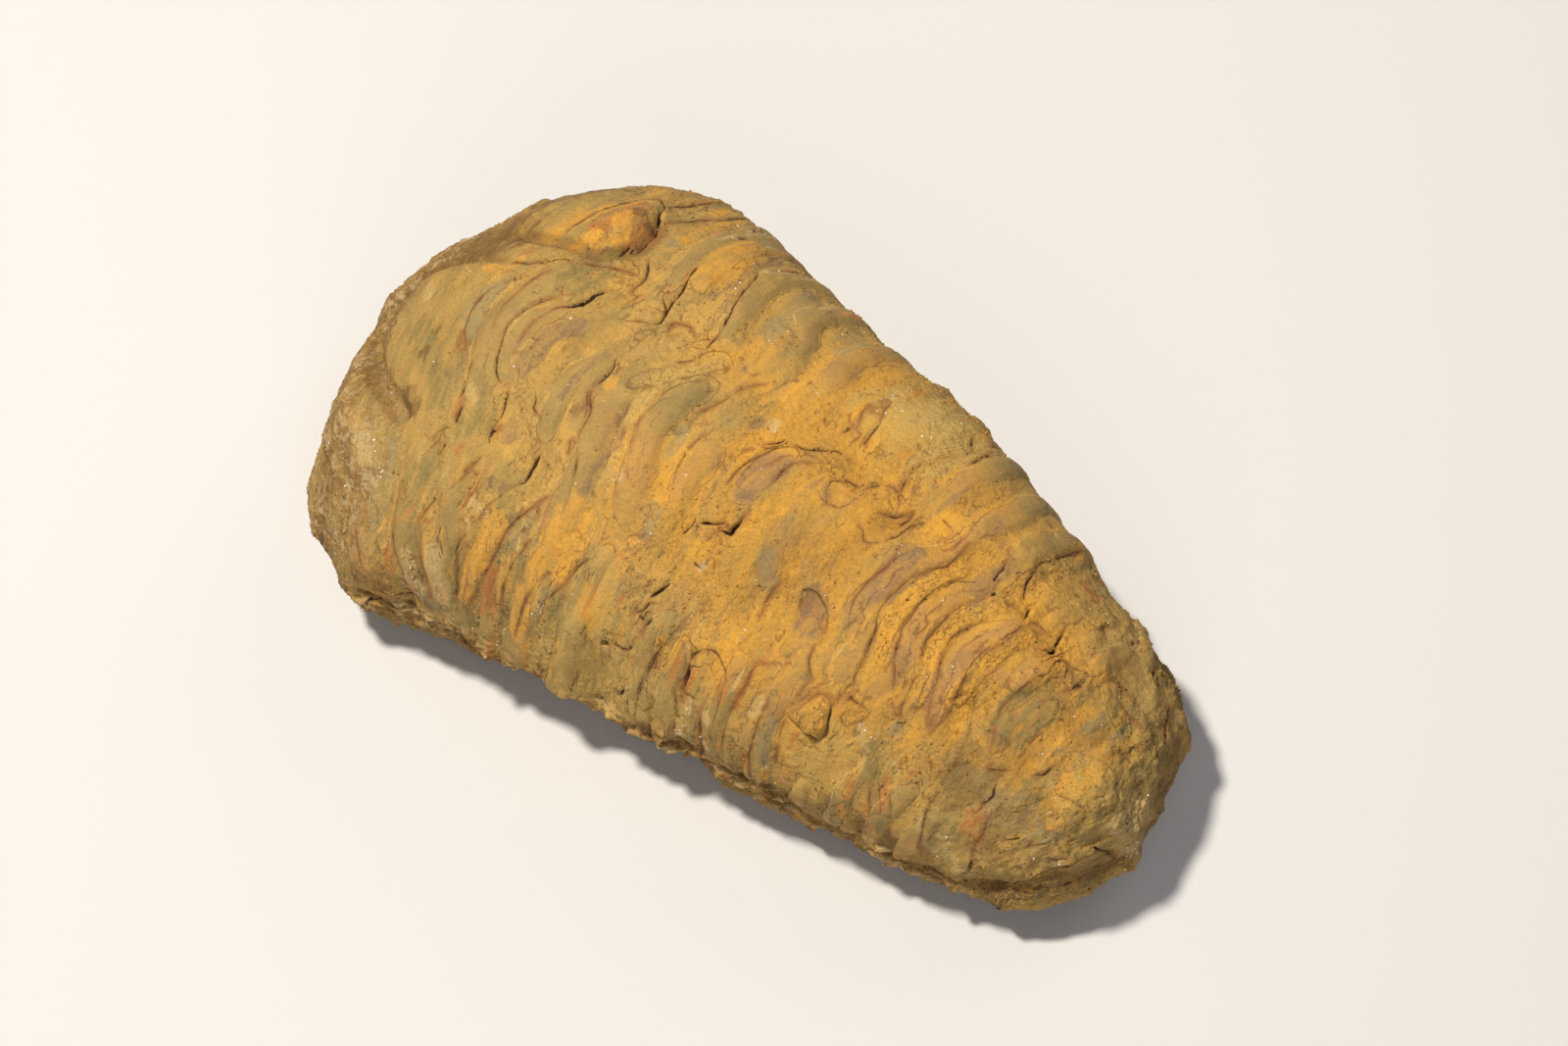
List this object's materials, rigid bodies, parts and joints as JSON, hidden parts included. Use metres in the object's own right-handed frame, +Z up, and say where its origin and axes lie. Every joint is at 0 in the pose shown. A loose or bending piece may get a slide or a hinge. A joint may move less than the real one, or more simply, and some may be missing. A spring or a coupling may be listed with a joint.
{
  "type": "fossil trilobite",
  "caption": "Loose lump of ochre siltstone that is a whole trilobite: blunt wide head, ribbed body in three lobes, narrow rounded tail, lying on its worn underside.",
  "frame": {"origin": "middle of the bounding box, on the surface that the fossil lies on", "axes": "+X along the animal from head to tail, +Y to the flank on its left side as seen with the head to the left, +Z up out of its back"},
  "size_m": [0.0818, 0.0476, 0.0281],
  "materials": {
    "fossil_stone": "dry, matt ochre siltstone: velvety smooth rib bands in yellow ochre and olive grey, granular hollows, rust edges, fine dark cracks, a few pale crystal flecks"
  },
  "bodies": {
    "root": {"trilobite_fossil": "fossil_stone"}
  },
  "joints": []
}
